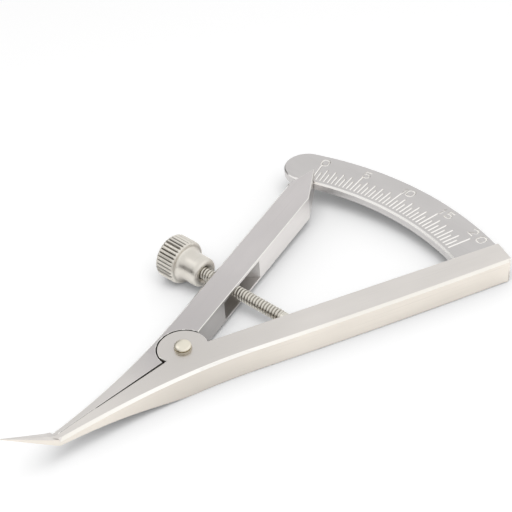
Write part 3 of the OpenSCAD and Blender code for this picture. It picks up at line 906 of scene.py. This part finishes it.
def knurl_tree(material):
    """Nodes that press straight V grooves into a turned head along Z, each a little deeper or
    shallower."""
    tree, given, maths = new_tree("Knurl", ("Ridges", "Depth", "Foot", "Rim"),
                                  takes_geometry=True)
    x, y, z = here(tree)
    out = from_axis(maths, x, y)
    count = maths("DIVIDE", maths("MULTIPLY", maths("ARCTAN2", y, x), given["Ridges"]),
                  2 * math.pi)
    width = maths("DIVIDE", maths("MULTIPLY", 2 * math.pi, given["Rim"]), given["Ridges"])
    aside = maths("MULTIPLY", width,
                  maths("ABSOLUTE", maths("SUBTRACT", maths("FRACT", count), 0.5)))
    uneven = add_node(tree, "FunctionNodeRandomValue", {
        "Min": 0.86, "Max": 1.0, "Seed": 7, "ID": maths("FLOOR", count)}, data_type="FLOAT")
    deep = maths("MULTIPLY", given["Depth"], uneven.outputs["Value"])
    cut = maths("MAXIMUM", 0.0, maths("SUBTRACT", deep, aside))
    # the grooves are cut straight, so they run out where the rim and the shoulder round off
    floor = maths("SUBTRACT", given["Rim"], cut)
    pull = maths("MULTIPLY", maths("MAXIMUM", 0.0, maths("SUBTRACT", out, floor)),
                 maths("GREATER_THAN", z, given["Foot"]))
    # the Groove attribute carries painted shade into the knurl's grooves
    dark = maths("MINIMUM", 1.0, maths("DIVIDE", pull, maths("MULTIPLY", 0.8, given["Depth"])))
    marked = stored(tree, given["Geometry"], "Groove", maths("POWER", dark, 3.0))
    end_tree(tree, drawn_in(tree, marked, pull, maths("MAXIMUM", out, 0.0001)), material)
    return tree


class CALIPER_OT_nut(bpy.types.Operator):
    """The thumb nut: a knurled head, a neck and a countersunk nose"""
    bl_idname = "caliper.nut"
    bl_label = "Build the thumb nut"

    def execute(self, context):
        n = settings().nut
        foot, end = n.neck_span, n.neck_span + n.knurl_span
        flare_out = n.knurl_radius - n.shoulder - n.neck_radius
        straight = n.knurl_span - n.shoulder - n.rim_round
        lip = 0.03 * MM
        # from the mouth up the nose, the neck, the flare, the head and its rim to the bore's end
        profile = [(n.bore_radius, n.mouth_depth), (n.mouth_radius - 0.04 * MM, lip),
                   (n.mouth_radius, 0)]
        profile += arc(n.nose_radius, n.nose_round, n.neck_radius - n.nose_radius,
                       n.nose_round, -90, 0, 10)
        profile += arc(n.neck_radius + flare_out, foot - n.flare, flare_out, n.flare,
                       180, 90, 15)
        profile += arc(n.knurl_radius - n.shoulder, foot + n.shoulder, n.shoulder, n.shoulder,
                       -90, 0, 12)[1:]
        profile += [(n.knurl_radius, z)
                    for z in spread(foot + n.shoulder, foot + n.shoulder + straight, 5)[1:-1]]
        profile += arc(n.knurl_radius - n.rim_round, end - n.rim_round, n.rim_round,
                       n.rim_round, 0, 90, 10)
        profile += [(n.bore_radius + 0.35 * MM, end), (n.bore_radius + 0.27 * MM, end - lip),
                    (n.bore_radius, end - 0.3 * MM)]
        steps_a_ridge = 12
        piece = linked("thumb_nut_steel", lathe(
            "thumb_nut_steel", profile, n.knurls * steps_a_ridge, True))
        bright = turned_steel("nut_steel", n.steel, 0.36, ROD_PLACE, painted_shading=n.groove)
        run_tree(piece, knurl_tree(bright), {
            "Ridges": n.knurls, "Depth": n.knurl_depth, "Foot": foot + 0.01 * MM,
            "Rim": n.knurl_radius})
        mesh = plain_mesh(piece)
        # its back end is where the construction model has it along the spindle
        back = max((v.co - SWIVEL).dot(ROD_WAY)
                   for v in frame["nodes"]["thumb_nut"].data.vertices)
        mesh.transform(ROD_PLACE @ Matrix.Translation((0, 0, back - end)))
        one_material(mesh, bright)
        smooth_by_angle(mesh, 30)
        dressed(piece, "nut", "thumb_nut")
        return {"FINISHED"}


class CALIPER_OT_pins(bpy.types.Operator):
    """The pivot pin with its domed head, the washer and the swivel pin"""
    bl_idname = "caliper.pins"
    bl_label = "Build the pins"

    def execute(self, context):
        s = settings().pins
        low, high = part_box("pivot_washer")
        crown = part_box("pivot_pin")[1].z
        tall = crown - high.z
        hollow = s.head_radius - s.undercut
        lip = 0.03 * MM
        profile = [(0, 0), (s.foot_radius - lip, 0), (s.foot_radius, lip),
                   (s.shaft_radius, 0.7 * MM), (s.shaft_radius, high.z), (hollow, high.z),
                   (hollow, high.z + 0.2 * tall)]
        profile += arc(hollow, high.z + 0.34 * tall, s.undercut, 0.12 * tall, -70, -10, 2)
        profile += [(s.head_radius * math.cos(math.radians(a)) ** 0.85,
                     high.z + tall * (0.36 + 0.64 * math.sin(math.radians(a))))
                    for a in range(0, 90, 5)]
        profile += [(0, crown)]
        self.turn("pivot_pin", "pin_steel", profile, s.steel, 0.34)
        edge, bore = 0.08 * MM, s.shaft_radius + 0.01 * MM
        rim = (high.x - low.x) / 2
        ring = [(bore, low.z), (rim, low.z),
                *arc(rim - edge, high.z - edge, edge, edge, 0, 90, 6), (bore, high.z)]
        # the washer's darker colour is painted shade under the head
        self.turn("pivot_washer", "washer_steel", ring, s.washer, 0.2, closed=True)
        swivel = frame["nodes"]["swivel_pin"].data
        swivel.materials.clear()
        swivel.materials.append(
            turned_steel("swivel_pin_steel", s.hidden, 0.28, Matrix.Translation(SWIVEL)))
        return {"FINISHED"}

    def turn(self, node, slot, profile, rgb, roughness, closed=False):
        """A piece turned round the pivot, in steel that is named as its slot."""
        mesh = lathe(node + "_steel", profile, 96, closed)
        mesh.materials.append(turned_steel(slot, rgb, roughness, Matrix.Identity(4), grain=0.2))
        smooth_by_angle(mesh, 40)
        dressed(linked(mesh.name, mesh), "frame", node)


# ---------------------------------------------------------------------- table, lights and camera

CAMERA_PLACE = (-0.095976, -0.123695, 0.148900)
CAMERA_TURN = ((0.711669, 0.473971, -0.518535), (-0.700563, 0.423831, -0.574089),
               (-0.052331, 0.771828, 0.633674))
# softboxes: place, aim, width and height in metres
SOFTBOXES = {"key": ((-0.105, -0.165, 0.57), (0.015, 0.0, 0.0), 0.61, 0.61),
             "front": ((0.20, -0.36, 0.36), (0.02, 0.0, 0.0), 1.0, 0.36),
             "rear": ((-0.11, 0.31, 0.38), (0.01, 0.01, 0.0), 0.18, 0.18)}
TABLE_HALF = 1.5                 # half the table's width
TABLE_CLEAR = 0.02 * MM          # how far below the resting plane it lies
WALL_RADIUS, WALL_LOW, WALL_HIGH = 0.5, -0.03, 0.21
WALL_FROM, WALL_TO = math.radians(58), math.radians(190)


def resting_plane():
    """A point and the upward direction of the table: the face of the caliper's hull on which it
    rests stably."""
    hull = bmesh.new()
    weight, centre = 0.0, Vector()
    for node in frame["nodes"].values():
        mesh = node.data
        mesh.calc_loop_triangles()
        for tri in mesh.loop_triangles:
            a, b, c = (mesh.vertices[i].co for i in tri.vertices)
            volume = a.dot(b.cross(c)) / 6
            weight += volume
            centre += (a + b + c) / 4 * volume
        for vertex in mesh.vertices:
            hull.verts.new(vertex.co)
    centre /= weight
    bmesh.ops.convex_hull(hull, input=hull.verts)
    best = None
    for face in hull.faces:
        a, b, c = (v.co for v in face.verts[:3])
        normal = (b - a).cross(c - a)
        out = normal.normalized()
        if out.dot(a - centre) < 0:
            out = -out
        foot = centre + out * out.dot(a - centre)
        stable = all((q - p).cross(foot - p).dot(normal) >= 0
                     for p, q in ((a, b), (b, c), (c, a)))
        if stable and out.z < -0.9 and (best is None or out.z < best[1].z):
            best = (a.copy(), out.copy())
    hull.free()
    if best is None:
        raise RuntimeError("the caliper rests on no face of its hull")
    return best[0], -best[1]


def softbox(name, place, aim, wide, high, brightness):
    """A rectangular light, level across, that looks as bright as brightness says."""
    lamp = bpy.data.lights.new(name, "AREA")
    lamp.shape = "RECTANGLE"
    lamp.size, lamp.size_y = wide, high
    lamp.energy = brightness * math.pi * wide * high
    light = bpy.data.objects.new(name, lamp)
    light.location = place
    light.rotation_euler = (Vector(aim) - Vector(place)).to_track_quat("-Z", "Y").to_euler()
    bpy.context.scene.collection.objects.link(light)
    return light


def plain_material(name, rgb):
    """A matt material without gloss, and its shader."""
    mat = bpy.data.materials.new(name)
    mat.use_nodes = True
    shader = mat.node_tree.nodes["Principled BSDF"]
    for label, value in (("Base Color", rgb), ("Roughness", 0.9), ("Specular IOR Level", 0.0)):
        feed(mat.node_tree, shader.inputs[label], value)
    return mat, shader


class CALIPER_OT_stage(bpy.types.Operator):
    """The table, the soft light and the camera"""
    bl_idname = "caliper.stage"
    bl_label = "Build the stage"

    def execute(self, context):
        s = settings().stage
        self.camera(s)
        self.table(s)
        self.wall()
        key, front, rear = (softbox(name + "_softbox", *place, getattr(s, name))
                            for name, place in SOFTBOXES.items())
        key.visible_glossy = False
        front.visible_diffuse = rear.visible_diffuse = False
        self.room(s)
        context.scene.view_settings.view_transform = "Standard"
        # light thrown back by the steel would wash out the soft shadow beside it
        context.scene.cycles.caustics_reflective = False
        return {"FINISHED"}

    def camera(self, s):
        lens = bpy.data.cameras.new("camera")
        lens.sensor_width = 36
        lens.lens = s.lens
        lens.clip_start = 0.01
        camera = linked("camera", lens)
        camera.matrix_world = Matrix.Translation(CAMERA_PLACE) @ Matrix(CAMERA_TURN).to_4x4()
        bpy.context.scene.camera = camera

    def table(self, s):
        """A white table in the plane on which the caliper rests."""
        point, up = resting_plane()
        bm = bmesh.new()
        bmesh.ops.create_grid(bm, x_segments=1, y_segments=1, size=TABLE_HALF)
        mesh = mesh_of(bm, "table")
        mesh.transform(Matrix.Translation(point - up * TABLE_CLEAR)
                       @ up.to_track_quat("Z", "Y").to_matrix().to_4x4())
        white, shader = plain_material("table_white", (0.98, 0.98, 0.98))
        tree = white.node_tree
        maths = maths_in(tree)
        ray = add_node(tree, "ShaderNodeLightPath").outputs
        seen = maths("ADD", maths("ADD", ray["Is Camera Ray"], ray["Is Glossy Ray"]),
                     ray["Is Transmission Ray"])
        feed(tree, shader.inputs["Emission Color"], (1, 1, 1))
        feed(tree, shader.inputs["Emission Strength"], maths("MULTIPLY", seen, s.lift))
        # seen from below, as from a low camera, the table is clear
        below = add_node(tree, "ShaderNodeNewGeometry").outputs["Backfacing"]
        clear = add_node(tree, "ShaderNodeBsdfTransparent").outputs[0]
        side = add_node(tree, "ShaderNodeMixShader", {0: below, 1: shader.outputs[0], 2: clear})
        feed(tree, tree.nodes["Material Output"].inputs["Surface"], side.outputs[0])
        mesh.materials.append(white)
        linked("table", mesh)

    def wall(self):
        """A low dark wall behind, which only reflections show, as the dim back of the room."""
        bm = bmesh.new()
        rows = [[bm.verts.new((WALL_RADIUS * math.cos(t), WALL_RADIUS * math.sin(t), z))
                 for t in spread(WALL_FROM, WALL_TO, 24)] for z in (WALL_LOW, WALL_HIGH)]
        for (a, b), (d, c) in zip(zip(rows[0], rows[0][1:]), zip(rows[1], rows[1][1:])):
            bm.faces.new((a, b, c, d))
        wall = linked("back_wall", mesh_of(bm, "back_wall"))
        wall.data.materials.append(plain_material("back_wall_dark", (0.05, 0.045, 0.04))[0])
        wall.visible_camera = wall.visible_diffuse = wall.visible_shadow = False

    def room(self, s):
        """White to the camera, pale in metal, and a plain level on the table."""
        world = bpy.data.worlds.new("room")
        bpy.context.scene.world = world
        world.use_nodes = True
        tree = world.node_tree
        plain = tree.nodes["Background"]
        pale, white = (add_node(tree, "ShaderNodeBackground") for _ in range(2))
        for glow, level in ((plain, s.room), (pale, s.sheen), (white, 1.0)):
            feed(tree, glow.inputs["Color"], (1, 1, 1))
            feed(tree, glow.inputs["Strength"], level)
        ray = add_node(tree, "ShaderNodeLightPath").outputs
        gleam = maths_in(tree)("MAXIMUM", ray["Is Glossy Ray"], ray["Is Transmission Ray"])
        first = add_node(tree, "ShaderNodeMixShader", {
            0: gleam, 1: plain.outputs[0], 2: pale.outputs[0]})
        second = add_node(tree, "ShaderNodeMixShader", {
            0: ray["Is Camera Ray"], 1: first.outputs[0], 2: white.outputs[0]})
        feed(tree, tree.nodes["World Output"].inputs[0], second.outputs[0])


# ------------------------------------------------------------------------ panel and registration

GROUPS = (("Arms", "arms", ArmSettings), ("Scale plate", "plate", PlateSettings),
          ("Spindle", "thread", ThreadSettings), ("Thumb nut", "nut", NutSettings),
          ("Pins", "pins", PinSettings), ("Stage", "stage", StageSettings))
STEPS = (CALIPER_OT_arms, CALIPER_OT_plate, CALIPER_OT_spindle, CALIPER_OT_nut,
         CALIPER_OT_pins, CALIPER_OT_stage)


class CaliperSettings(bpy.types.PropertyGroup):
    arms: PointerProperty(type=ArmSettings)
    plate: PointerProperty(type=PlateSettings)
    thread: PointerProperty(type=ThreadSettings)
    nut: PointerProperty(type=NutSettings)
    pins: PointerProperty(type=PinSettings)
    stage: PointerProperty(type=StageSettings)


class CALIPER_PT_panel(bpy.types.Panel):
    """Lists the caliper's sizes, colours and build steps"""
    bl_idname = "CALIPER_PT_panel"
    bl_label = "Lever caliper"
    bl_space_type = "VIEW_3D"
    bl_region_type = "UI"
    bl_category = "Caliper"

    def draw(self, context):
        layout = self.layout
        for title, group, kind in GROUPS:
            box = layout.box()
            box.label(text=title)
            for name in kind.__annotations__:
                box.prop(getattr(context.scene.caliper, group), name)
        for step in STEPS:
            layout.operator(step.bl_idname)


CLASSES = (*(kind for _, _, kind in GROUPS), CaliperSettings, *STEPS, CALIPER_PT_panel)


def register():
    for cls in CLASSES:
        bpy.utils.register_class(cls)
    bpy.types.Scene.caliper = PointerProperty(type=CaliperSettings)


def unregister():
    del bpy.types.Scene.caliper
    for cls in reversed(CLASSES):
        bpy.utils.unregister_class(cls)


def main():
    register()
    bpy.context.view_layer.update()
    bpy.ops.caliper.arms()
    bpy.ops.caliper.plate()
    bpy.ops.caliper.spindle()
    bpy.ops.caliper.nut()
    bpy.ops.caliper.pins()
    bpy.ops.caliper.stage()


if __name__ == "__main__":
    main()
